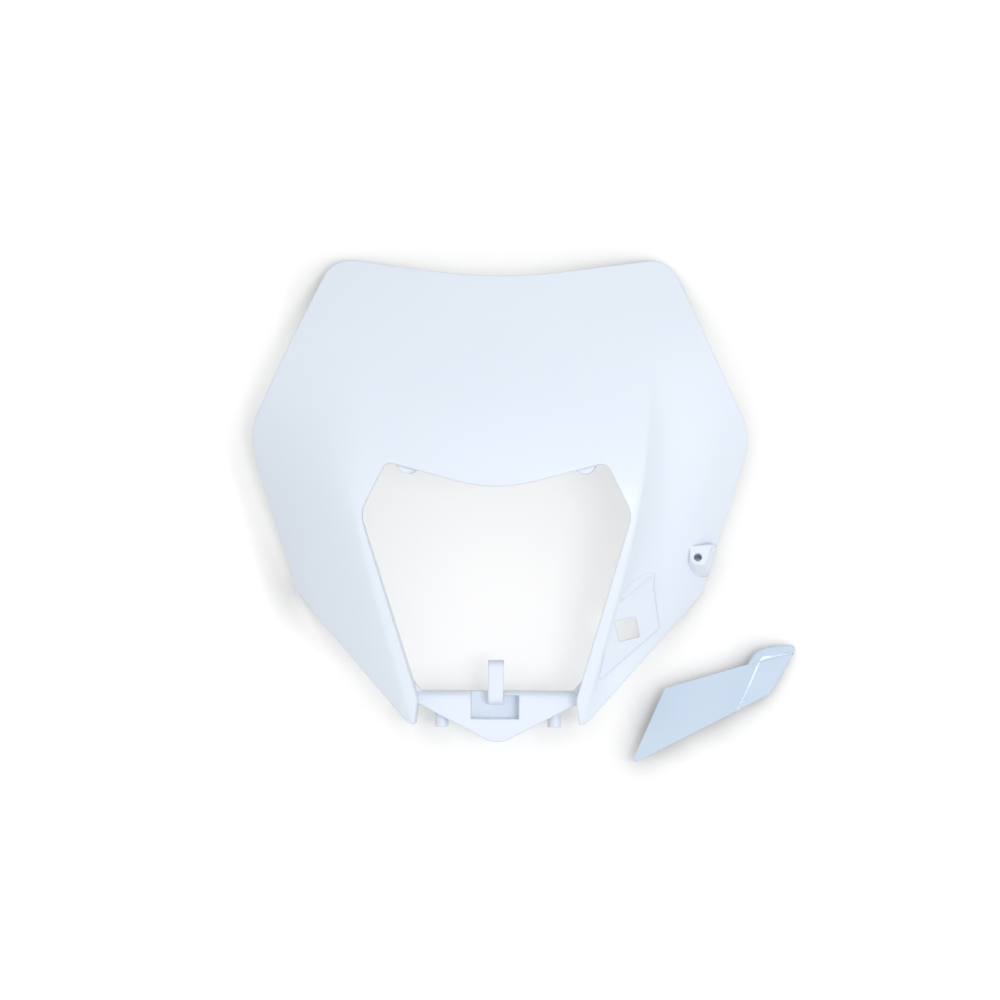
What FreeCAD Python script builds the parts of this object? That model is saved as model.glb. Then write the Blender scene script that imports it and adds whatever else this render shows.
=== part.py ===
import FreeCAD, Part
import math
import os

import Sketcher

# Headlight mask of an enduro motorcycle and the cover of its brake hose channel, in mm.
# X runs across the mask, Y up the mask, Z out of its front; X = 0 is the middle plane.

doc = FreeCAD.newDocument("headlight_mask")
sheet = doc.addObject("Spreadsheet::Sheet", "Sizes")

sizes = [
    # Outer outline from the front: corners before rounding, right half
    ("top_dip_y", 173.3),
    ("top_dip_radius", 280),
    ("top_corner_x", 99.1),
    ("top_corner_y", 187.3),
    ("top_corner_radius", 17),
    ("side_corner_x", 147.7),
    ("side_corner_y", 82.6),
    ("side_corner_radius", 33),
    ("low_corner_x", 119),
    ("low_corner_y", -10),
    ("low_corner_radius", 14),
    ("leg_tip_x", 51.5),
    ("leg_tip_y", -86),
    ("leg_tip_radius", 7),
    # Headlight opening from the front, right half
    ("brow_y", 49.4),
    ("brow_radius", 87),
    ("lamp_top_x", 63.4),
    ("lamp_top_y", 66.5),
    ("lamp_top_radius", 5.5),
    ("lamp_side_x", 78.2),
    ("lamp_side_y", 37),
    ("lamp_side_radius", 15),
    ("lamp_foot_x", 46),
    ("lamp_foot_y", -71.5),
    ("lamp_foot_radius", 9),
    ("leg_gap_x", 51),
    ("leg_gap_y", -110),
    ("leg_gap_radius", 2),
    # Front surface: the crest over the brow, how it leans away, and the ridge to the wings
    ("crest_height", 74),
    ("crest_y", 52.5),
    ("shield_lean", 0.665),
    ("shield_roll", 60),
    ("leg_lean", 0.34),
    ("leg_roll", 25),
    ("front_radius", 450),
    ("ridge_x", 86),
    ("ridge_y", 37),
    ("ridge_slope", 0.29),
    ("ridge_limit", 90),
    ("ridge_ease", 12),
    ("wing_slope", 0.445),
    ("wing_bow", 0.0064),
    ("shoulder_slope", 0.12),
    ("shoulder_top", 165),
    ("shoulder_span", 150),
    ("crease_radius", 1.5),
    ("shoulder_radius", 70),
    ("crease_top", 125),
    ("crease_span", 90),
    # Brake hose channel beside the right ridge
    ("channel_depth", 13),
    ("channel_wall", 13),
    ("channel_offset", 0.5),
    ("channel_width", 36),
    ("channel_top", 132),
    ("channel_fade", 95),
    ("channel_foot", -75),
    ("channel_run_out", 45),
    ("channel_curve", 2.5),
    # Moulded wall and rim
    ("wall", 2.5),
    ("rim_depth", 5),
    ("edge_radius", 0.8),
    ("collar_height", 16),
    ("collar_slope", 0.38),
    # Seat of the hose cover with the square clip hole
    ("seat_inner_x", 69.3),
    ("seat_inner_y", -15.1),
    ("seat_outer_x", 91),
    ("seat_outer_y", -6.7),
    ("seat_low_x", 94.3),
    ("seat_low_y", -29.7),
    ("seat_foot_x", 58.8),
    ("seat_foot_y", -60.5),
    ("seat_sink", 3),
    ("seat_ramp_x", 91.4),
    ("seat_ramp_y", 2.9),
    ("ramp_depth", 9),
    ("clip_hole_x", 75.5),
    ("clip_hole_y", -29.8),
    ("clip_hole_side", 12),
    ("clip_hole_turn", 13.5),
    # Screw lug of the hose cover
    ("lug_x", 116.5),
    ("lug_y", 12),
    ("lug_radius", 4.7),
    ("lug_inner_y", 6.6),
    ("lug_outer_x", 8.6),
    ("lug_outer_y", 7.7),
    ("lug_low_x", 4.5),
    ("lug_rise", 3.2),
    ("lug_depth", 16),
    ("lug_tilt", -11),
    ("lug_draft", 14),
    ("lug_bore_radius", 2.3),
    # Lamp bosses behind the brow
    ("boss_x", 51),
    ("boss_y", 66),
    ("boss_radius", 6.3),
    ("boss_length", 24),
    ("boss_sink", 3.2),
    ("boss_hole_radius", 2.1),
    ("boss_hole_depth", 16),
    # Chin bar between the legs
    ("chin_low_x", 47),
    ("chin_top_x", 47.5),
    ("chin_top_y", -66.9),
    ("chin_low_y", -73.9),
    ("chin_tip_y", -98.5),
    ("chin_tip_radius", 16),
    ("chin_front", 27),
    ("chin_flange", 15),
    ("chin_round", 5),
    ("pocket_left_x", -15.5),
    ("pocket_width", 28),
    ("pocket_low_y", -83),
    ("pocket_depth", 8),
    ("notch_width", 10.5),
    ("web_x", 52),
    ("web_y", -58),
    # Hook tab that holds the foot of the lamp
    ("tab_width", 9),
    ("tab_x", -1),
    ("tab_top_y", -48.8),
    ("tab_root_y", -74.5),
    ("tab_front", 28.5),
    ("tab_plate", 3),
    ("tab_root", 6),
    ("tab_hook", 9),
    ("tab_round", 5),
    # Pegs under the chin bar
    ("peg_x", 33),
    ("peg_radius", 4),
    ("peg_end_y", -88),
    ("peg_height", 17),
    # Hose cover, laid out across its bend (x) and along it (y) with its feet on z = 0
    ("cover_tail_x", 0),
    ("cover_tail_y", -49.5),
    ("cover_nose_x", 57.8),
    ("cover_nose_y", 21.9),
    ("cover_end_x", 61),
    ("cover_end_y", 51.1),
    ("cover_head_x", 0),
    ("cover_head_y", 0),
    ("cover_corner_radius", 1.5),
    ("cover_plate", 2.5),
    ("cover_height", 9.5),
    ("cover_bend", 44.4),
    ("cover_bend_angle", 15),
    ("cover_bend_radius", 3),
    ("lip_start_x", 38.5),
    ("lip_start_y", 30),
    ("lip_rise_x", 41),
    ("lip_rise_y", 42.1),
    ("lip_crown_x", 52.2),
    ("lip_crown_y", 49.3),
    ("lip_end_x", 60),
    ("lip_end_y", 46),
    ("lip_step", 2),
    ("clip_x", 12),
    ("clip_y", -13),
    ("clip_side", 11),
    ("clip_slot", 3.5),
    ("stud_x", 53),
    ("stud_y", 36.5),
    ("stud_radius", 4.5),
    ("stud_hole_radius", 1.6),
    ("stud_hole_depth", 6),
    ("rib_x", 33),
    ("rib_y", -2),
    ("rib_length", 12),
    ("rib_width", 2),
    ("cover_place_x", 97.6),
    ("cover_place_y", -65.1),
    ("cover_turn", -23.7),
    # Blanks that the outlines are cut from
    ("blank", 400),
]

for row, (alias, number) in enumerate(sizes, start=1):
    sheet.set("A%d" % row, alias)
    sheet.set("B%d" % row, str(number))
    sheet.setAlias("B%d" % row, alias)
doc.recompute()


def size(alias):
    return float(sheet.get(alias))


# Sketches of straight lines with rounded corners

def rounded_outline(name, corners, placement=FreeCAD.Placement()):
    # A corner is its two coordinates before rounding and its radius, each an expression on the sheet
    sketch = doc.addObject("Sketcher::SketchObject", name)
    sketch.Placement = placement
    values = [[float(sheet.evalExpression(text)) for text in corner] for corner in corners]
    points = [FreeCAD.Vector(x, y, 0) for x, y, radius in values]
    count = len(points)
    starts = []
    ends = []
    arcs = []
    for i in range(count):
        here = points[i]
        back = (points[i - 1] - here).normalize()
        ahead = (points[(i + 1) % count] - here).normalize()
        half = back.getAngle(ahead) / 2
        radius = values[i][2]
        centre = here + (back + ahead).normalize() * (radius / math.sin(half))
        first = here + back * (radius / math.tan(half))
        second = here + ahead * (radius / math.tan(half))
        left_turn = back.cross(ahead).z < 0
        low, high = (first, second) if left_turn else (second, first)
        circle = Part.Circle(centre, FreeCAD.Vector(0, 0, 1), radius)
        arc = Part.ArcOfCircle(circle, circle.parameter(low), circle.parameter(high))
        arcs.append((sketch.addGeometry(arc, False), 1 if left_turn else 2, 2 if left_turn else 1))
        starts.append(second)
        ends.append(first)
    lines = []
    for i in range(count):
        lines.append(sketch.addGeometry(Part.LineSegment(starts[i], ends[(i + 1) % count]), False))
    marks = [sketch.addGeometry(Part.Point(point), True) for point in points]

    def held(text, *constraint):
        index = sketch.addConstraint(Sketcher.Constraint(*constraint))
        sketch.setExpression("Constraints[%d]" % index, text)

    for i, (x_text, y_text, radius_text) in enumerate(corners):
        arc, arc_start, arc_end = arcs[i]
        sketch.addConstraint(Sketcher.Constraint("Tangent", arc, arc_start, lines[i - 1], 2))
        sketch.addConstraint(Sketcher.Constraint("Tangent", arc, arc_end, lines[i], 1))
        sketch.addConstraint(Sketcher.Constraint("PointOnObject", marks[i], 1, lines[i - 1]))
        sketch.addConstraint(Sketcher.Constraint("PointOnObject", marks[i], 1, lines[i]))
        if points[i].x == 0:
            sketch.addConstraint(Sketcher.Constraint("PointOnObject", marks[i], 1, -2))
        else:
            held(x_text, "DistanceX", -1, 1, marks[i], 1, points[i].x)
        if points[i].y == 0:
            sketch.addConstraint(Sketcher.Constraint("PointOnObject", marks[i], 1, -1))
        else:
            held(y_text, "DistanceY", -1, 1, marks[i], 1, points[i].y)
        held(radius_text, "Radius", arc, values[i][2])
    return sketch


def corner(cells, radius=None):
    # The corner on the cells NAME_x and NAME_y
    return "Sizes.%s_x" % cells, "Sizes.%s_y" % cells, "Sizes.%s" % (radius or cells + "_radius")


def on_middle(cells):
    return "0", "Sizes.%s_y" % cells, "Sizes.%s_radius" % cells


def both_halves(middle, right):
    # A corner on the middle plane, the right half in order, then the left half back to the start
    return [middle] + right + [("-" + x, y, radius) for x, y, radius in reversed(right)]


outline = rounded_outline("outline", both_halves(
    on_middle("top_dip"),
    [corner("top_corner"), corner("side_corner"), corner("low_corner"), corner("leg_tip")]))

lamp_outline = rounded_outline("lamp_outline", both_halves(
    on_middle("brow"),
    [corner("lamp_top"), corner("lamp_side"), corner("lamp_foot"), corner("leg_gap")]))

seat_outline = rounded_outline("seat_outline", [
    corner("seat_inner", "edge_radius"),
    corner("seat_outer", "edge_radius"),
    corner("seat_low", "edge_radius"),
    corner("seat_foot", "edge_radius")])

chin_outline = rounded_outline("chin_outline", both_halves(
    on_middle("chin_tip"),
    [corner("chin_low", "edge_radius"), corner("chin_top", "edge_radius")]))

# Side views of the chin bar and of its hook tab: sketch X is Y of the mask, sketch Y is Z
side_view = FreeCAD.Placement(FreeCAD.Vector(), FreeCAD.Rotation(FreeCAD.Vector(1, 1, 1), 120))
chin_side = rounded_outline("chin_side", [
    ("Sizes.chin_top_y", "Sizes.chin_front", "Sizes.chin_round"),
    ("2 * Sizes.chin_tip_y", "Sizes.chin_front", "Sizes.edge_radius"),
    ("2 * Sizes.chin_tip_y", "Sizes.chin_front - Sizes.wall", "Sizes.edge_radius"),
    ("Sizes.chin_top_y - Sizes.wall", "Sizes.chin_front - Sizes.wall", "Sizes.chin_round - Sizes.wall"),
    ("Sizes.chin_top_y - Sizes.wall", "Sizes.chin_front - Sizes.chin_flange", "Sizes.edge_radius"),
    ("Sizes.chin_top_y", "Sizes.chin_front - Sizes.chin_flange", "Sizes.edge_radius")], side_view)

tab_side = rounded_outline("tab_side", [
    ("Sizes.tab_top_y", "Sizes.tab_front", "Sizes.tab_round"),
    ("Sizes.tab_root_y", "Sizes.tab_front", "Sizes.tab_round"),
    ("Sizes.tab_root_y", "Sizes.chin_front - Sizes.pocket_depth - Sizes.wall / 2", "Sizes.edge_radius"),
    ("Sizes.tab_root_y + Sizes.tab_root", "Sizes.chin_front - Sizes.pocket_depth - Sizes.wall / 2",
     "Sizes.edge_radius"),
    ("Sizes.tab_root_y + Sizes.tab_root", "Sizes.tab_front - Sizes.tab_plate", "Sizes.edge_radius"),
    ("Sizes.tab_top_y - Sizes.tab_plate", "Sizes.tab_front - Sizes.tab_plate", "Sizes.edge_radius"),
    ("Sizes.tab_top_y - Sizes.tab_plate", "Sizes.tab_front - Sizes.tab_hook", "Sizes.edge_radius"),
    ("Sizes.tab_top_y", "Sizes.tab_front - Sizes.tab_hook", "Sizes.edge_radius")], side_view)


# Front surface of the mask as a height over the XY plane

def rolled(distance, roll):
    # Starts level and runs out to a straight slope
    return math.hypot(distance, roll) - roll


def eased(share):
    share = min(max(share, 0.0), 1.0)
    return share * share * (3 - 2 * share)


def past(distance, radius):
    # Nothing before the bend, the distance itself well past it
    return (distance + math.hypot(distance, radius)) / 2


def ridge_half(y):
    leg = size("ridge_x") + (y - size("ridge_y")) * size("ridge_slope")
    limit = size("ridge_limit")
    return (leg + limit - math.hypot(leg - limit, size("ridge_ease"))) / 2


def wing_height(x, y):
    up = size("shield_lean") * rolled(max(y - size("crest_y"), 0), size("shield_roll"))
    down = size("leg_lean") * rolled(max(size("crest_y") - y, 0), size("leg_roll"))
    crown = x * x / (2 * size("front_radius"))
    ridge = ridge_half(y)
    tight = eased((size("crease_top") - y) / size("crease_span"))
    bend = size("shoulder_radius") + (size("crease_radius") - size("shoulder_radius")) * tight
    reach = past(x - ridge, bend) + past(-x - ridge, bend) - 2 * past(-ridge, bend)
    full = eased((size("shoulder_top") - y) / size("shoulder_span"))
    slope = size("shoulder_slope") + (size("wing_slope") - size("shoulder_slope")) * full
    fall = slope * reach + size("wing_bow") * full * reach * reach
    return size("crest_height") - up - down - crown - fall


narrowest_share = 0.05


def channel_drop(x, y):
    # The channel narrows with the leg below the low corner
    narrow = (y - size("leg_tip_y")) / (size("low_corner_y") - size("leg_tip_y"))
    narrow = min(max(narrow, narrowest_share), 1.0)
    across = (x - ridge_half(y) - size("channel_offset")) / narrow
    depth = size("channel_depth") * eased((size("channel_top") - y) / size("channel_fade"))
    depth = depth * eased((y - size("channel_foot")) / size("channel_run_out"))
    wall = min(max(across / size("channel_wall"), 0.0), 1.0)
    floor = (across - size("channel_wall")) / (size("channel_width") - size("channel_wall"))
    floor = min(max(floor, 0.0), 1.0)
    return depth * (1 - (1 - wall) ** size("channel_curve")) * (1 - floor * floor)


def front_height(x, y):
    return wing_height(x, y) - channel_drop(x, y)


slope_step = 0.25


def slope_of(height, x, y):
    along_x = (height(x + slope_step, y) - height(x - slope_step, y)) / (2 * slope_step)
    along_y = (height(x, y + slope_step) - height(x, y - slope_step)) / (2 * slope_step)
    return along_x, along_y


steepest = 1.9


def core_height(x, y):
    # The inner surface lies one wall behind the front, measured square to it
    along_x, along_y = slope_of(front_height, x, y)
    steep = min(math.sqrt(1 + along_x ** 2 + along_y ** 2), steepest)
    return front_height(x, y) - size("wall") * steep


# Points of a section: spread over the front, close together at the ridge, spread over the wing
front_shares = (0, 0.5)
ridge_offsets = (-10, -2.5, -0.8, 0, 0.8, 2.5, 6, 11, 18, 30, 48, 74)
core_offsets = (-10, -2.5, 2.5, 6, 11, 18, 30, 48, 74)
section_step = 22


def clamped_knots(poles):
    # Even knots of a cubic spline that starts and ends on its first and last pole
    knots = list(range(poles - 2))
    return knots, [4] + [1] * (poles - 4) + [4]


def skin_face(height, offsets):
    rows = []
    lowest = size("chin_tip_y") - section_step
    highest = size("top_corner_y") + section_step
    steps = round((highest - lowest) / section_step)
    for i in range(steps + 1):
        y = lowest + (highest - lowest) * i / steps
        ridge = ridge_half(y)
        right = [share * (ridge + offsets[0]) for share in front_shares]
        right = right + [ridge + offset for offset in offsets]
        left = [-x for x in reversed(right[1:])]
        rows.append([FreeCAD.Vector(x, y, height(x, y)) for x in left + right])
    surface = Part.BSplineSurface()
    row_knots, row_mults = clamped_knots(len(rows))
    point_knots, point_mults = clamped_knots(len(rows[0]))
    surface.buildFromPolesMultsKnots(rows, row_mults, point_mults, row_knots, point_knots,
                                     False, False, 3, 3)
    return surface.toShape()


# Small builders for the document tree

def feature(name, shape):
    thing = doc.addObject("Part::Feature", name)
    thing.Shape = shape
    return thing


def extrusion(name, base, direction, forward, backward="0"):
    solid = doc.addObject("Part::Extrusion", name)
    solid.Base = base
    solid.DirMode = "Custom"
    solid.Dir = FreeCAD.Vector(*direction)
    solid.Solid = True
    solid.setExpression("LengthFwd", forward)
    solid.setExpression("LengthRev", backward)
    return solid


def tall(name, base):
    return extrusion(name, base, (0, 0, 1), "Sizes.blank", "Sizes.blank")


def grown(name, sketch, distance):
    ring = doc.addObject("Part::Offset2D", name)
    ring.Source = sketch
    ring.setExpression("Value", distance)
    return ring


def common(name, *parts):
    solid = doc.addObject("Part::MultiCommon", name)
    solid.Refine = False
    solid.Shapes = list(parts)
    return solid


def chained(kind, name, base, tools):
    # One tool after the other; the last step carries the name
    for tool in tools:
        label = name if tool is tools[-1] else "%s_%s" % (name, tool.Name)
        solid = doc.addObject(kind, label)
        solid.Refine = False
        solid.Base = base
        solid.Tool = tool
        base = solid
    return base


def fused(name, base, *tools):
    return chained("Part::Fuse", name, base, tools)


def cut(name, base, *tools):
    return chained("Part::Cut", name, base, tools)


def together(name, *parts):
    # Solids that do not touch, used as one tool
    group = doc.addObject("Part::Compound", name)
    group.Links = list(parts)
    return group


def box(name, length, width, height, placement):
    solid = doc.addObject("Part::Box", name)
    solid.setExpression("Length", length)
    solid.setExpression("Width", width)
    solid.setExpression("Height", height)
    solid.Placement = placement
    return solid


def cylinder(name, radius, height, base, axis):
    solid = doc.addObject("Part::Cylinder", name)
    solid.setExpression("Radius", radius)
    solid.setExpression("Height", height)
    turn = FreeCAD.Rotation(FreeCAD.Vector(0, 0, 1), axis)
    solid.Placement = FreeCAD.Placement(base, turn)
    return solid


def blank_below(name, point, normal):
    # Everything under the plane through the point
    half = size("blank") / 2
    turn = FreeCAD.Rotation(FreeCAD.Vector(0, 0, 1), normal)
    corner = point + turn.multVec(FreeCAD.Vector(-half, -half, -2 * half))
    return box(name, "Sizes.blank", "Sizes.blank", "Sizes.blank", FreeCAD.Placement(corner, turn))


# Thin moulding: the front surface with its wall, turned rim and the collar round the headlight
front_skin = feature("front_skin", skin_face(front_height, ridge_offsets))
core_skin = feature("core_skin", skin_face(core_height, core_offsets))
outline_block = tall("outline_block", outline)
lamp_block = tall("lamp_block", lamp_outline)
collar_block = tall("collar_block", grown("collar_outline", lamp_outline, "Sizes.wall"))
rim_block = tall("rim_block", grown("rim_outline", outline, "-Sizes.wall"))

skin_slab = extrusion("skin_slab", front_skin, (0, 0, -1), "Sizes.rim_depth")
skin_plate = common("skin_plate", skin_slab, outline_block)

collar_normal = FreeCAD.Vector(0, -size("collar_slope"), 1).normalize()
collar_point = FreeCAD.Vector(0, size("lamp_foot_y"), size("collar_height"))
under_collar = blank_below("under_collar", collar_point, collar_normal)
collar_slab = extrusion("collar_slab", front_skin, (0, 0, -1), "Sizes.blank")
collar_ring = common("collar_ring", collar_slab, collar_block, outline_block)
collar = cut("collar", collar_ring, under_collar)

# Seat of the hose cover: a flat lying below the line of the wing, hollow from behind
seat_x = size("clip_hole_x")
seat_y = size("clip_hole_y")
seat_fall_x, seat_fall_y = slope_of(wing_height, seat_x, seat_y)
seat_normal = FreeCAD.Vector(-seat_fall_x, -seat_fall_y, 1).normalize()
seat_point = FreeCAD.Vector(seat_x, seat_y, wing_height(seat_x, seat_y) - size("seat_sink"))
seat_block = common("seat_block", tall("seat_tower", seat_outline),
                    blank_below("under_seat", seat_point, seat_normal))
seat_inner_tower = tall("seat_inner_tower", grown("seat_inside", seat_outline, "-Sizes.wall"))
seat_hollow = common("seat_hollow", seat_inner_tower,
                     blank_below("under_seat_wall", seat_point - seat_normal * size("wall"), seat_normal))


def on_seat(x, y):
    drop = (x - seat_point.x) * seat_normal.x + (y - seat_point.y) * seat_normal.y
    return FreeCAD.Vector(x, y, seat_point.z - drop / seat_normal.z)


ramp_foot = FreeCAD.Vector(size("seat_ramp_x"), size("seat_ramp_y"), 0)
ramp_foot.z = front_height(ramp_foot.x, ramp_foot.y)
ramp_points = [on_seat(size("seat_inner_x"), size("seat_inner_y")),
               on_seat(size("seat_outer_x"), size("seat_outer_y")), ramp_foot]
ramp_top = Part.Face(Part.makePolygon(ramp_points + ramp_points[:1]))
ramp_face = feature("ramp_face", ramp_top)
ramp = extrusion("ramp", ramp_face, (0, 0, -1), "Sizes.ramp_depth")

# Screw lug: a drafted block through the wing, with its bored face turned to the front
lug_turn = FreeCAD.Rotation(FreeCAD.Vector(1, 0, 0), size("lug_tilt"))
lug_axis = lug_turn.multVec(FreeCAD.Vector(0, 0, 1))
lug_height = front_height(size("lug_x"), size("lug_y")) + size("lug_rise")
lug_top = FreeCAD.Vector(size("lug_x"), size("lug_y"), lug_height)
lug_outline = rounded_outline("lug_outline", [
    ("-Sizes.lug_radius", "Sizes.lug_inner_y", "Sizes.edge_radius"),
    ("Sizes.lug_outer_x", "Sizes.lug_outer_y", "Sizes.edge_radius"),
    ("Sizes.lug_low_x", "-Sizes.lug_radius", "Sizes.edge_radius"),
    ("-Sizes.lug_radius", "-Sizes.lug_radius", "Sizes.lug_radius")], FreeCAD.Placement(lug_top, lug_turn))
lug_block = extrusion("lug_block", lug_outline, -lug_axis, "Sizes.lug_depth")
lug_block.setExpression("TaperAngle", "Sizes.lug_draft")
lug = common("lug", lug_block, outline_block)
lug_bore = cylinder("lug_bore", "Sizes.lug_bore_radius", "3 * Sizes.lug_depth",
                    lug_top + lug_axis * size("lug_depth"), -lug_axis)

form = fused("form", skin_plate, collar, seat_block, ramp)
core_slab = extrusion("core_slab", core_skin, (0, 0, -1), "Sizes.blank")
core_inside = common("core_inside", core_slab, rim_block)
core = cut("core", core_inside, collar_block)
shell = cut("shell", form, core, seat_hollow, lamp_block)


# Chin bar with the pocket that the hook tab springs from, and its two pegs
chin_bar = common("chin_bar", tall("chin_tower", chin_outline),
                  extrusion("chin_profile", chin_side, (1, 0, 0), "Sizes.blank", "Sizes.blank"))
pocket_floor = size("chin_front") - size("pocket_depth")
pocket_corner = FreeCAD.Vector(size("pocket_left_x"), size("pocket_low_y"), pocket_floor)
pocket_wall = FreeCAD.Vector(size("wall"), size("wall"), size("wall"))
pocket_box = box("pocket_box", "Sizes.pocket_width + 2 * Sizes.wall",
                 "Sizes.chin_top_y - Sizes.pocket_low_y", "Sizes.pocket_depth + Sizes.wall / 2",
                 FreeCAD.Placement(pocket_corner - pocket_wall, FreeCAD.Rotation()))
pocket = box("pocket", "Sizes.pocket_width", "Sizes.chin_top_y - Sizes.wall - Sizes.pocket_low_y",
             "Sizes.blank", FreeCAD.Placement(pocket_corner, FreeCAD.Rotation()))
notch_corner = FreeCAD.Vector(size("pocket_left_x"), size("chin_top_y") - 2 * size("wall"), pocket_floor)
notch = box("notch", "Sizes.notch_width", "3 * Sizes.wall", "Sizes.blank",
            FreeCAD.Placement(notch_corner, FreeCAD.Rotation()))
chin_filled = fused("chin_filled", chin_bar, pocket_box)
chin_pocket = cut("chin_pocket", chin_filled, pocket, notch)

# Corner webs between the chin bar and the legs
web_place = FreeCAD.Placement(FreeCAD.Vector(0, 0, size("chin_front") - size("wall")), FreeCAD.Rotation())
web_corners = [
    ("Sizes.chin_top_x - 2 * Sizes.wall", "Sizes.chin_top_y - Sizes.wall / 2", "Sizes.edge_radius"),
    ("Sizes.web_x", "Sizes.web_y", "Sizes.edge_radius"),
    ("Sizes.web_x", "Sizes.chin_top_y - Sizes.wall / 2", "Sizes.edge_radius")]
webs = []
for sign, word in (("-", "left"), ("", "right")):
    web_side = [(sign + "(%s)" % x, y, radius) for x, y, radius in web_corners]
    web_outline = rounded_outline("web_outline_" + word, web_side, web_place)
    webs.append(extrusion("web_" + word, web_outline, (0, 0, -1), "Sizes.wall"))

tab_blade = extrusion("tab_blade", tab_side, (1, 0, 0),
                      "Sizes.tab_x + Sizes.tab_width / 2", "Sizes.tab_width / 2 - Sizes.tab_x")

down_mask = FreeCAD.Vector(0, -1, 0)
peg_top = size("chin_top_y") - size("wall") / 2
pegs = []
for side, word in ((-1, "left"), (1, "right")):
    peg_base = FreeCAD.Vector(side * size("peg_x"), peg_top, size("peg_height"))
    pegs.append(cylinder("peg_" + word, "Sizes.peg_radius",
                         "Sizes.chin_top_y - Sizes.wall / 2 - Sizes.peg_end_y", peg_base, down_mask))

# Lamp bosses: they show as half discs below the brow and are drilled from behind
backward = FreeCAD.Vector(0, 0, -1)
boss_top = front_height(size("boss_x"), size("boss_y")) - size("boss_sink")
bosses = []
boss_holes = []
for side, word in ((-1, "left"), (1, "right")):
    boss_base = FreeCAD.Vector(side * size("boss_x"), size("boss_y"), boss_top)
    boss_end = boss_base + backward * size("boss_length")
    bosses.append(cylinder("boss_" + word, "Sizes.boss_radius", "Sizes.boss_length", boss_base, backward))
    boss_holes.append(cylinder("boss_hole_" + word, "Sizes.boss_hole_radius", "Sizes.boss_hole_depth",
                               boss_end, -backward))

# Square clip hole through the seat
clip_turn = FreeCAD.Rotation(FreeCAD.Vector(0, 0, 1), size("clip_hole_turn"))
half_hole = size("clip_hole_side") / 2
clip_corner = seat_point + clip_turn.multVec(FreeCAD.Vector(-half_hole, -half_hole, -2 * half_hole))
clip_hole = box("clip_hole", "Sizes.clip_hole_side", "Sizes.clip_hole_side", "2 * Sizes.clip_hole_side",
                FreeCAD.Placement(clip_corner, clip_turn))

chin_set = fused("chin_set", chin_pocket, tab_blade, *webs, *pegs)
moulding = fused("moulding", shell, chin_set, together("boss_set", lug, *bosses))
headlight_mask = cut("headlight_mask", moulding,
                     together("openings", clip_hole, lug_bore, *boss_holes))

# Hose cover: a plate with one bend, a lip along its upper end and three feet below
cover_outline = rounded_outline("cover_outline", [
    corner("cover_tail", "cover_corner_radius"),
    corner("cover_nose", "cover_corner_radius"),
    corner("cover_end", "cover_corner_radius"),
    corner("cover_head", "cover_corner_radius")])
lip_outline = rounded_outline("lip_outline", [
    corner("lip_start", "edge_radius"),
    corner("lip_end", "edge_radius"),
    corner("lip_crown", "cover_bend_radius"),
    corner("lip_rise", "cover_bend_radius")])

front_view = FreeCAD.Placement(FreeCAD.Vector(), FreeCAD.Rotation(FreeCAD.Vector(1, 0, 0), 90))
fall = "tan(Sizes.cover_bend_angle * 1 deg)"
inner_bend = "Sizes.cover_bend - Sizes.cover_plate * tan(Sizes.cover_bend_angle * 0.5 deg)"


def bent_plate(name, top):
    under = "%s - Sizes.cover_plate" % top
    outer_end = "%s - Sizes.cover_bend * %s" % (top, fall)
    thick = "Sizes.cover_plate / cos(Sizes.cover_bend_angle * 1 deg)"
    profile = rounded_outline(name + "_profile", [
        ("-Sizes.cover_bend", top, "Sizes.edge_radius"),
        ("-Sizes.cover_bend", under, "Sizes.edge_radius"),
        (inner_bend, under, "Sizes.edge_radius"),
        ("2 * Sizes.cover_bend", "%s - %s" % (outer_end, thick), "Sizes.edge_radius"),
        ("2 * Sizes.cover_bend", outer_end, "Sizes.edge_radius"),
        ("Sizes.cover_bend", top, "Sizes.cover_bend_radius")], front_view)
    return extrusion(name, profile, (0, 1, 0), "Sizes.blank", "Sizes.blank")


cover_sheet = bent_plate("cover_sheet", "Sizes.cover_height")
cover_panel = common("cover_panel", cover_sheet, tall("cover_tower", cover_outline))
lip_sheet = bent_plate("lip_sheet", "Sizes.cover_height - Sizes.lip_step")
cover_lip = common("cover_lip", lip_sheet, tall("lip_tower", lip_outline))

# Feet of the cover, all ending on one level: split clip, screw stud and a rib on the lower edge
upward = FreeCAD.Vector(0, 0, 1)
clip_angle = FreeCAD.Rotation(upward, size("clip_hole_turn") - size("cover_turn"))
half_clip = size("clip_side") / 2
clip_base = FreeCAD.Vector(size("clip_x"), size("clip_y"), 0)
clip_edge = clip_base + clip_angle.multVec(FreeCAD.Vector(-half_clip, -half_clip, 0))
clip_block = box("clip_block", "Sizes.clip_side", "Sizes.clip_side", "Sizes.cover_height",
                 FreeCAD.Placement(clip_edge, clip_angle))
slot_edge = clip_base + clip_angle.multVec(FreeCAD.Vector(-2 * half_clip, -size("clip_slot") / 2, 0))
clip_slot = box("clip_slot", "2 * Sizes.clip_side", "Sizes.clip_slot",
                "Sizes.cover_height - Sizes.cover_plate", FreeCAD.Placement(slot_edge, clip_angle))
clip = cut("clip", clip_block, clip_slot)

stud_base = FreeCAD.Vector(size("stud_x"), size("stud_y"), 0)
stud = cylinder("stud", "Sizes.stud_radius", "Sizes.cover_height", stud_base, upward)
stud_hole = cylinder("stud_hole", "Sizes.stud_hole_radius", "Sizes.stud_hole_depth", stud_base, upward)

edge_run = FreeCAD.Vector(size("cover_nose_x") - size("cover_tail_x"),
                          size("cover_nose_y") - size("cover_tail_y"), 0)
rib_base = FreeCAD.Vector(size("rib_x"), size("rib_y"), 0)
rib = box("rib", "Sizes.rib_length", "Sizes.rib_width", "Sizes.cover_height",
          FreeCAD.Placement(rib_base, FreeCAD.Rotation(FreeCAD.Vector(1, 0, 0), edge_run)))

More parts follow.
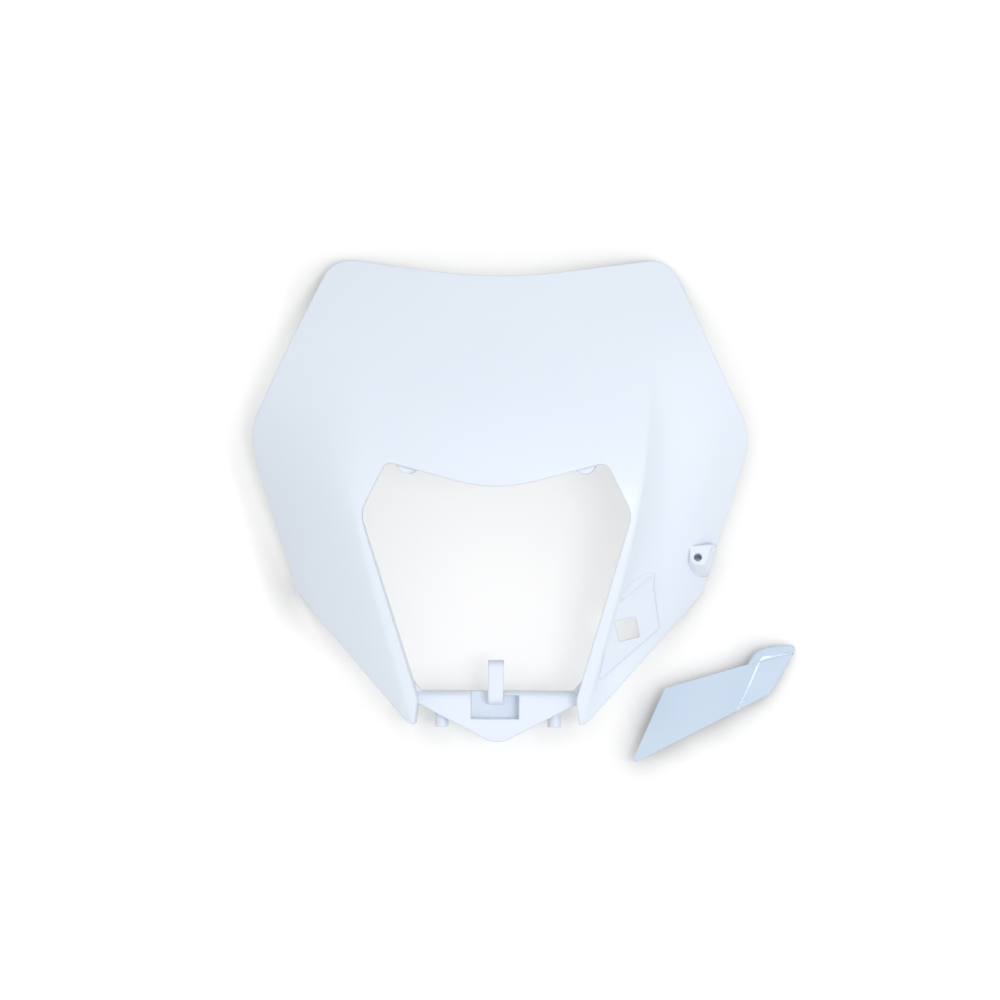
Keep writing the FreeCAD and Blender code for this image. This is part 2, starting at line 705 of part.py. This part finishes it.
inside_top = "Sizes.cover_height - Sizes.cover_plate / 2"
under_cover = rounded_outline("under_cover", [
    ("-Sizes.cover_bend", inside_top, "Sizes.edge_radius"),
    ("-Sizes.cover_bend", "-Sizes.blank", "Sizes.edge_radius"),
    ("2 * Sizes.cover_bend", "-Sizes.blank", "Sizes.edge_radius"),
    ("2 * Sizes.cover_bend", "%s - Sizes.cover_bend * %s" % (inside_top, fall), "Sizes.edge_radius"),
    ("Sizes.cover_bend", inside_top, "Sizes.edge_radius")], front_view)
under_cover_block = extrusion("under_cover_block", under_cover, (0, 1, 0), "Sizes.blank", "Sizes.blank")
feet = common("feet", fused("foot_blanks", clip, stud, rib), under_cover_block)
cover_solid = fused("cover_solid", cover_panel, cover_lip, feet)
hose_guide_cover = cut("hose_guide_cover", cover_solid, stud_hole)
doc.recompute()

# Both pieces lie on z = 0: the mask on its rim, the cover on its feet beside it
lowest = headlight_mask.Shape.optimalBoundingBox(False).ZMin
headlight_mask.Placement = FreeCAD.Placement(FreeCAD.Vector(0, 0, -lowest), FreeCAD.Rotation())
hose_guide_cover.Placement = FreeCAD.Placement(
    FreeCAD.Vector(size("cover_place_x"), size("cover_place_y"), 0),
    FreeCAD.Rotation(upward, size("cover_turn")))
doc.recompute()

for thing in doc.Objects:
    if "Invalid" in thing.State or "Error" in thing.State:
        raise RuntimeError("%s did not build: %s" % (thing.Label, thing.State))
os.makedirs("parts", exist_ok=True)
for piece in (headlight_mask, hose_guide_cover):
    if piece.Shape.isNull() or not piece.Shape.isValid() or len(piece.Shape.Solids) != 1:
        raise RuntimeError("%s is not one sound solid" % piece.Label)
for piece in (headlight_mask, hose_guide_cover):
    piece.Shape.Solids[0].exportStep("parts/%s.step" % piece.Label)
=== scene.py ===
import math

import bpy
from mathutils import Matrix, Vector


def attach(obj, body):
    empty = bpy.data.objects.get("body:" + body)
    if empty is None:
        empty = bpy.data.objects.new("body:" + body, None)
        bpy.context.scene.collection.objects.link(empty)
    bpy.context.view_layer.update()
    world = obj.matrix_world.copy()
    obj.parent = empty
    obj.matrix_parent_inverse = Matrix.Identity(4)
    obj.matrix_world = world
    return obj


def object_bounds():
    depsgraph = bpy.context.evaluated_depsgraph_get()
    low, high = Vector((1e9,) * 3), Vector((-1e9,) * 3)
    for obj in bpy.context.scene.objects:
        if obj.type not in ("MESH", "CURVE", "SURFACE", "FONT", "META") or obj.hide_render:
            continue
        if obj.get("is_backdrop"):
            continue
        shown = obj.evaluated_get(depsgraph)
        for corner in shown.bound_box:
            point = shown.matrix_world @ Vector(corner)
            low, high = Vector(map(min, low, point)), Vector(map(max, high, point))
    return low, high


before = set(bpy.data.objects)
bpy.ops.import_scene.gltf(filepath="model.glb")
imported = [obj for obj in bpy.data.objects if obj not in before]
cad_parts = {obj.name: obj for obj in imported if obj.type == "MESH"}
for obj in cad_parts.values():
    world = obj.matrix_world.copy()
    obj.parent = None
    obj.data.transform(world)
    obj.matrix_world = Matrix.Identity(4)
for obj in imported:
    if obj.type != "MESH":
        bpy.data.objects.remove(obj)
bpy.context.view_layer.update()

# The headlight mask is one injection moulding in white polypropylene, about 2.5 mm thick.
# Its skin comes out of a polished tool, so it has a soft satin gloss, faint flow and sink marks
# and a very fine grain, and every edge is a little rounded.
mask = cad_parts["headlight_mask"]
mask_white = (0.795, 0.858, 0.948)
mask_shade = (0.770, 0.835, 0.930)
mask_gloss = (0.30, 0.44)
mask_edge_radius = 0.0018
mask_sink_depth = 0.002
grain_depth = 0.0002
plastic_ior = 1.49


def start_material(name):
    material = bpy.data.materials.new(name)
    material.use_nodes = True
    tree = material.node_tree
    return material, tree.nodes, tree.links, tree.nodes["Principled BSDF"]


plastic, nodes, links, surface = start_material("mask_plastic_satin")
where = nodes.new("ShaderNodeTexCoord")


def add_marks(where, scale, detail, roughness=0.5, distortion=0.0):
    tree = where.id_data
    marks = tree.nodes.new("ShaderNodeTexNoise")
    marks.inputs["Scale"].default_value = scale
    marks.inputs["Detail"].default_value = detail
    marks.inputs["Roughness"].default_value = roughness
    marks.inputs["Distortion"].default_value = distortion
    tree.links.new(where.outputs["Object"], marks.inputs["Vector"])
    return marks.outputs["Fac"]


tint_marks = add_marks(where, scale=14.0, detail=3.0, roughness=0.45, distortion=0.6)
handling = add_marks(where, scale=46.0, detail=6.0, roughness=0.62)


def add_tint(marks, white, shade):
    tree = marks.node.id_data
    tint = tree.nodes.new("ShaderNodeMix")
    tint.data_type = "RGBA"
    tint.inputs["A"].default_value = (*white, 1)
    tint.inputs["B"].default_value = (*shade, 1)
    tree.links.new(marks, tint.inputs["Factor"])
    return tint.outputs["Result"]


links.new(add_tint(tint_marks, mask_white, mask_shade), surface.inputs["Base Color"])


def add_gloss(marks, roughness):
    tree = marks.node.id_data
    gloss = tree.nodes.new("ShaderNodeMapRange")
    gloss.inputs["To Min"].default_value, gloss.inputs["To Max"].default_value = roughness
    tree.links.new(marks, gloss.inputs["Value"])
    return gloss.outputs["Result"]


links.new(add_gloss(handling, mask_gloss), surface.inputs["Roughness"])


def add_edges(nodes, radius):
    edges = nodes.new("ShaderNodeBevel")
    edges.samples = 6
    edges.inputs["Radius"].default_value = radius
    return edges


mask_edges = add_edges(nodes, mask_edge_radius)


def add_bump(marks, below, strength, depth):
    tree = marks.node.id_data
    bump = tree.nodes.new("ShaderNodeBump")
    bump.inputs["Strength"].default_value = strength
    bump.inputs["Distance"].default_value = depth
    tree.links.new(marks, bump.inputs["Height"])
    tree.links.new(below, bump.inputs["Normal"])
    return bump.outputs["Normal"]


sinking = add_marks(where, scale=22.0, detail=1.0)
grain = add_marks(where, scale=1400.0, detail=2.0)
waves = add_bump(sinking, mask_edges.outputs["Normal"], strength=0.35, depth=mask_sink_depth)
relief = add_bump(grain, waves, strength=0.06, depth=grain_depth)
links.new(relief, surface.inputs["Normal"])
surface.inputs["IOR"].default_value = plastic_ior
surface.inputs["Subsurface Weight"].default_value = 0.12
surface.inputs["Subsurface Radius"].default_value = (0.0022, 0.0024, 0.0028)
surface.inputs["Subsurface Scale"].default_value = 1.0
mask.data.materials[0] = plastic

# The ramp beside the cover's seat is moulded in one with the mask, and a soft fillet leads from
# its upper edge down into the hose channel. It is widest in the middle and runs out at both ends.
ramp_inner = Vector((0.0693, -0.0151))
ramp_foot = Vector((0.0914, 0.0029))
fillet_width = 0.0045
fillet_start = 0.11
fillet_first_width = 0.1
fillet_growth = 4.5
fillet_least_belly = 0.004
fillet_steps = 30
fillet_rows = 8
fillet_stand = 0.00006
fillet_depth = 0.0012
probe_height = 0.2
probe_step = 0.0004
shapes = bpy.context.evaluated_depsgraph_get()


def mask_height(spot):
    above = Vector((spot.x, spot.y, probe_height))
    return mask.ray_cast(above, Vector((0, 0, -1)), depsgraph=shapes)[1].z


def eased(u, start, leave, end, land):
    first = (2 * u ** 3 - 3 * u ** 2 + 1) * start + (u ** 3 - 2 * u ** 2 + u) * leave
    return first + (3 * u ** 2 - 2 * u ** 3) * end + (u ** 3 - u ** 2) * land


def smooth_sheet(name, points, steps, rows, material):
    row = rows + 1
    corners = [i * row + j for i in range(steps) for j in range(rows)]
    faces = [(first, first + row, first + row + 1, first + 1) for first in corners]
    mesh = bpy.data.meshes.new(name)
    mesh.from_pydata(points, [], faces)
    mesh.polygons.foreach_set("use_smooth", [True] * len(faces))
    mesh.materials.append(material)
    piece = bpy.data.objects.new(name, mesh)
    bpy.context.scene.collection.objects.link(piece)
    return piece


ramp_run = (ramp_foot - ramp_inner).normalized()
uphill = Vector((-ramp_run.y, ramp_run.x))
points = []
for i in range(fillet_steps + 1):
    along = i / fillet_steps
    share = fillet_start + (1 - fillet_start) * along
    edge = ramp_inner.lerp(ramp_foot, share) - uphill * probe_step
    belly = math.sqrt(max(math.sin(math.pi * along), fillet_least_belly))
    width = fillet_width * belly * min(fillet_growth * along + fillet_first_width, 1)
    foot = edge + uphill * width
    top = mask_height(edge)
    low = mask_height(foot)
    leave = (top - mask_height(edge - uphill * probe_step)) / probe_step * width
    land = (mask_height(foot + uphill * probe_step) - low) / probe_step * width
    for j in range(fillet_rows + 1):
        u = j / fillet_rows
        spot = edge + uphill * (width * u)
        points.append((spot.x, spot.y, eased(u, top, leave, low, land) + fillet_stand))

fillet_plastic = plastic.copy()
fillet_plastic.name = "fillet_plastic_satin"
fillet_nodes = fillet_plastic.node_tree.nodes
fillet_nodes.remove(fillet_nodes[mask_edges.name])
fillet = smooth_sheet("ramp_fillet", points, fillet_steps, fillet_rows, fillet_plastic)
filling = fillet.modifiers.new("filling", "SOLIDIFY")
filling.thickness = fillet_depth
filling.offset = -1
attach(fillet, "root")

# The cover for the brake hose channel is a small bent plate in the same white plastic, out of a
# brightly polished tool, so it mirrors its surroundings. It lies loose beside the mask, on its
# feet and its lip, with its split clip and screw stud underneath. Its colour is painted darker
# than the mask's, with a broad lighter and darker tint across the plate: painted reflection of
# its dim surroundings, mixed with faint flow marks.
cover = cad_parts["hose_guide_cover"]
cover_light_flow_and_reflection = (0.680, 0.770, 0.870)
cover_dark_flow_and_reflection = (0.500, 0.620, 0.780)
cover_gloss = (0.07, 0.13)
cover_edge_radius = 0.0007
cover_sink_depth = 0.004

polished, nodes, links, surface = start_material("cover_plastic_polished")
where = nodes.new("ShaderNodeTexCoord")
# These marks tint the plate with faint flow marks and with painted reflection, lighter and darker
# across the plate.
tint_marks = add_marks(where, scale=17.0, detail=1.5, roughness=0.4)
rub = add_marks(where, scale=120.0, detail=5.0)
warp = add_marks(where, scale=26.0, detail=1.0)
cover_edges = add_edges(nodes, cover_edge_radius)
sink_marks = add_bump(warp, cover_edges.outputs["Normal"], strength=0.6, depth=cover_sink_depth)
links.new(add_tint(tint_marks, cover_light_flow_and_reflection, cover_dark_flow_and_reflection), surface.inputs["Base Color"])
links.new(add_gloss(rub, cover_gloss), surface.inputs["Roughness"])
links.new(sink_marks, surface.inputs["Normal"])
surface.inputs["IOR"].default_value = plastic_ior
surface.inputs["Coat Weight"].default_value = 0.35
surface.inputs["Coat Roughness"].default_value = 0.04
cover.data.materials[0] = polished

# The lip is a thin flange along the cover's upper end, moulded in one with the plate. It rolls
# down from the plate's edge and runs out to a point at the far corner, so that it tucks under
# the wing when the cover is screwed on.
cover_corner = (0.0976, -0.0651, 0)
cover_turn = math.radians(-23.7)
plate_height = 0.0095
plate_bend = 0.0444
plate_fall = math.tan(math.radians(15))
lip_stand = 0.00012
lip_roll = 0.0019
lip_thickness = 0.0021
lip_steps = 36
lip_rows = 8
lip_root_start = Vector((0.0386, 0.0318))
lip_root_end = Vector((0.0608, 0.0489))
lip_corners = [
    (0.0386, 0.0322), (0.0392, 0.0385), (0.0412, 0.0430), (0.0460, 0.0468),
    (0.0515, 0.0502), (0.0572, 0.0530), (0.0605, 0.0533), (0.0612, 0.0493)]

lip_line = bpy.data.curves.new("lip_line", "CURVE")
lip_line.dimensions = "3D"
lip_line.resolution_u = 16
lip_edge = lip_line.splines.new("NURBS")
lip_edge.points.add(len(lip_corners) - 1)
for point, (x, y) in zip(lip_edge.points, lip_corners):
    point.co = (x, y, 0, 1)
lip_edge.order_u = 3
lip_edge.use_endpoint_u = True
lip_guide = bpy.data.objects.new("lip_guide", lip_line)
lip_outline = [Vector(v.co[:2]) for v in bpy.data.meshes.new_from_object(lip_guide).vertices]
bpy.data.objects.remove(lip_guide)

cover_place = Matrix.Translation(cover_corner) @ Matrix.Rotation(cover_turn, 4, "Z")
points = []
for i in range(lip_steps + 1):
    along = i / lip_steps
    root = lip_root_start.lerp(lip_root_end, along)
    place = along * (len(lip_outline) - 1)
    near = min(int(place), len(lip_outline) - 2)
    rim = lip_outline[near].lerp(lip_outline[near + 1], place - near)
    for j in range(lip_rows + 1):
        across = j / lip_rows
        spot = root.lerp(rim, across)
        plate = plate_height - plate_fall * max(spot.x - plate_bend, 0)
        height = plate + lip_stand - lip_roll * across ** 2
        points.append(cover_place @ Vector((spot.x, spot.y, height)))

lip = smooth_sheet("cover_lip", points, lip_steps, lip_rows, polished)
flange = lip.modifiers.new("flange", "SOLIDIFY")
flange.thickness = lip_thickness
flange.offset = -1
flange.use_even_offset = True
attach(lip, "root")

# The table is a sheet of white paper laid flat under the part. To the eye it is pure white but
# for the part's shadow, and it throws its light back up into the mask's hollow side. The shadow
# is partly real and partly painted: close to the part, the glow the eye sees is dimmed by a
# painted shadow, deepest on the side away from the lamp.
table_half = 3.0
table_drop = 0.0003
table_white = (0.70, 0.70, 0.70, 1)
table_seen = (0.42, 0.42, 0.42, 1)
table_glow = 0.60
shadow_reach = 0.022
shadow_depth = 2.0
shadow_lean = {"X": 0.60, "Y": 0.45, "Z": 0.66}

sheet_corners = [(-1, -1), (1, -1), (1, 1), (-1, 1)]
sheet_points = [(x * table_half, y * table_half, 0) for x, y in sheet_corners]
sheet = bpy.data.meshes.new("table")
sheet.from_pydata(sheet_points, [], [(0, 1, 2, 3)])
table = bpy.data.objects.new("table", sheet)
bpy.context.scene.collection.objects.link(table)
table.location.z = -table_drop


def work_out(operation, first, second):
    tree = first.node.id_data
    working = tree.nodes.new("ShaderNodeMath")
    working.operation = operation
    tree.links.new(first, working.inputs[0])
    if isinstance(second, float):
        working.inputs[1].default_value = second
    else:
        tree.links.new(second, working.inputs[1])
    return working.outputs["Value"]


paper, nodes, links, surface = start_material("table_white")
rays = nodes.new("ShaderNodeLightPath").outputs
seen = work_out("MAXIMUM", rays["Is Camera Ray"], rays["Is Glossy Ray"])
seen = work_out("MAXIMUM", seen, rays["Is Transmission Ray"])
sheet_tone = nodes.new("ShaderNodeMix")
sheet_tone.data_type = "RGBA"
sheet_tone.inputs["A"].default_value = table_white
sheet_tone.inputs["B"].default_value = table_seen
links.new(seen, sheet_tone.inputs["Factor"])
lean = nodes.new("ShaderNodeCombineXYZ")
for axis, share in shadow_lean.items():
    lean.inputs[axis].default_value = share
# Painted contact shadow: it dims the seen glow close to the part and leans away from the lamp.
painted_contact_shadow = nodes.new("ShaderNodeAmbientOcclusion")
painted_contact_shadow.samples = 6
painted_contact_shadow.inputs["Distance"].default_value = shadow_reach
links.new(lean.outputs["Vector"], painted_contact_shadow.inputs["Normal"])
glow = work_out("MULTIPLY", seen, table_glow)
grounded = work_out("MULTIPLY", glow, work_out("POWER", painted_contact_shadow.outputs["AO"], shadow_depth))
links.new(sheet_tone.outputs["Result"], surface.inputs["Base Color"])
links.new(grounded, surface.inputs["Emission Strength"])
surface.inputs["Emission Color"].default_value = (1, 1, 1, 1)
surface.inputs["Roughness"].default_value = 0.9
surface.inputs["Specular IOR Level"].default_value = 0.0
table.data.materials.append(paper)
table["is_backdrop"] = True

# The light is a white studio: a surround that is brightest half-way up and dimmer low down and
# straight overhead, and one soft lamp high on the right, whose shadow falls to the left.
surround_strength = 0.98
surround_low = (0.45, 0.45, 0.45, 1)
surround_overhead = (0.45, 0.46, 0.48, 1)
surround_bright = (1, 1, 1, 1)
bright_from, bright_to = 0.55, 0.85
lamp_place = Vector((0.80, -0.15, 2.0))
lamp_target = Vector((0, 0.05, 0))

world = bpy.data.worlds.new("studio")
bpy.context.scene.world = world
world.use_nodes = True
nodes = world.node_tree.nodes
links = world.node_tree.links
direction = nodes.new("ShaderNodeTexCoord")
upward = nodes.new("ShaderNodeSeparateXYZ")
links.new(direction.outputs["Generated"], upward.inputs["Vector"])
dome = nodes.new("ShaderNodeValToRGB")
tones = dome.color_ramp.elements
tones[0].color = surround_low
tones[1].color = surround_overhead
for height in (bright_from, bright_to):
    tones.new(height).color = surround_bright
links.new(upward.outputs["Z"], dome.inputs["Fac"])
links.new(dome.outputs["Color"], nodes["Background"].inputs["Color"])
nodes["Background"].inputs["Strength"].default_value = surround_strength

lamp = bpy.data.lights.new("soft_lamp", "AREA")
lamp.shape = "DISK"
lamp.size = 0.75
lamp.energy = 11.0
lamp_stand = bpy.data.objects.new("soft_lamp", lamp)
lamp_stand.location = lamp_place
lamp_stand.rotation_euler = (lamp_target - lamp_place).to_track_quat("-Z", "Y").to_euler()
bpy.context.scene.collection.objects.link(lamp_stand)

# The camera stands 2.5 m above the table, straight over the mask but for two degrees to the
# right, and its view is 590 mm wide at the table.
camera_distance = 2.5
view_width = 0.590
film_width = 36.0
aim = Vector((0.0, 0.0448, 0.0))
yaw = math.radians(2.1)
roll = math.radians(0.25)
camera_turn = Matrix.Rotation(yaw, 3, "Y") @ Matrix.Rotation(roll, 3, "Z")

camera = bpy.data.cameras.new("camera")
camera.sensor_width = film_width
camera.lens = film_width * camera_distance / view_width
camera.clip_end = 20.0
camera_stand = bpy.data.objects.new("camera", camera)
camera_stand.location = aim + camera_distance * Vector((math.sin(yaw), 0, math.cos(yaw)))
camera_stand.rotation_euler = camera_turn.to_euler()
bpy.context.scene.collection.objects.link(camera_stand)
bpy.context.scene.camera = camera_stand
bpy.context.scene.view_settings.view_transform = "Standard"

low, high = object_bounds()
